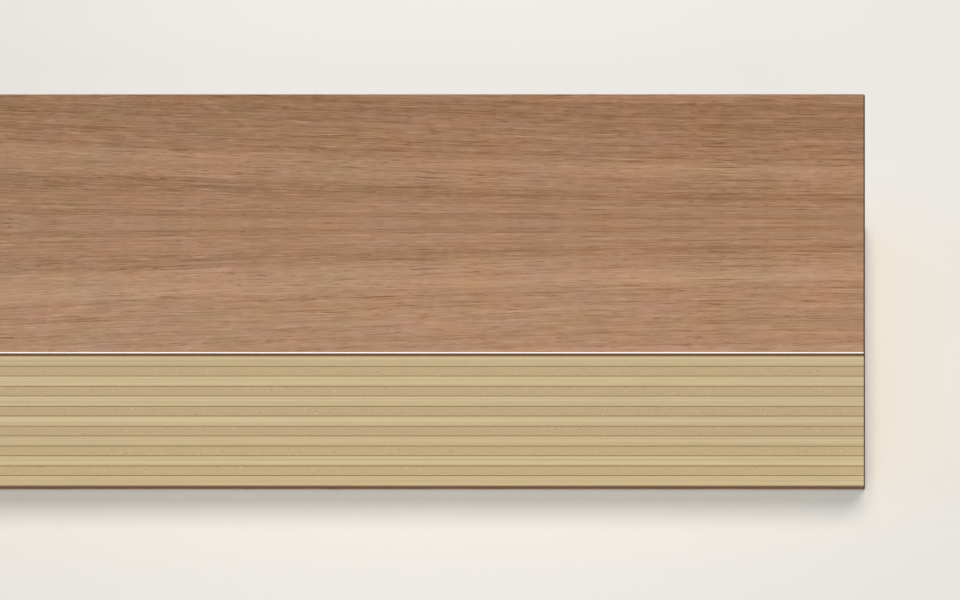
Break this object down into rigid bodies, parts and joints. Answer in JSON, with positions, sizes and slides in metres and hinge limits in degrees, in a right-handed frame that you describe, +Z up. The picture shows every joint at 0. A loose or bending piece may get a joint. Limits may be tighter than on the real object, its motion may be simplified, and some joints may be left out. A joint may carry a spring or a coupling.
{
  "type": "plywood sheet",
  "caption": "Cut plywood sheet: a glued stack of cross-banded pale core plies between brown hardwood face veneers, flat raw stock for shelves, boxes and panels.",
  "frame": {"origin": "centre of the underside, on the surface the sheet lies on", "axes": "+X along the sheet and the grain of its face veneers, +Y across the sheet, +Z up out of its face veneer"},
  "size_m": [0.3, 0.1, 0.019],
  "materials": {
    "face_veneer": "satin",
    "long_grain_ply": "matte",
    "cross_grain_ply": "matte",
    "glue_film": "matte"
  },
  "bodies": {
    "root": {"back_veneer": "face_veneer", "core_ply_01_long_grain": "long_grain_ply", "core_ply_02_cross_grain": "cross_grain_ply", "core_ply_03_long_grain": "long_grain_ply", "core_ply_04_cross_grain": "cross_grain_ply", "core_ply_05_long_grain": "long_grain_ply", "core_ply_06_cross_grain": "cross_grain_ply", "core_ply_07_long_grain": "long_grain_ply", "core_ply_08_cross_grain": "cross_grain_ply", "core_ply_09_long_grain": "long_grain_ply", "core_ply_10_cross_grain": "cross_grain_ply", "core_ply_11_long_grain": "long_grain_ply", "core_ply_12_cross_grain": "cross_grain_ply", "core_ply_13_long_grain": "long_grain_ply", "face_veneer": "face_veneer", "glue_film_01": "glue_film", "glue_film_02": "glue_film", "glue_film_03": "glue_film", "glue_film_04": "glue_film", "glue_film_05": "glue_film", "glue_film_06": "glue_film", "glue_film_07": "glue_film", "glue_film_08": "glue_film", "glue_film_09": "glue_film", "glue_film_10": "glue_film", "glue_film_11": "glue_film", "glue_film_12": "glue_film", "glue_film_13": "glue_film", "glue_film_14": "glue_film"}
  },
  "joints": []
}
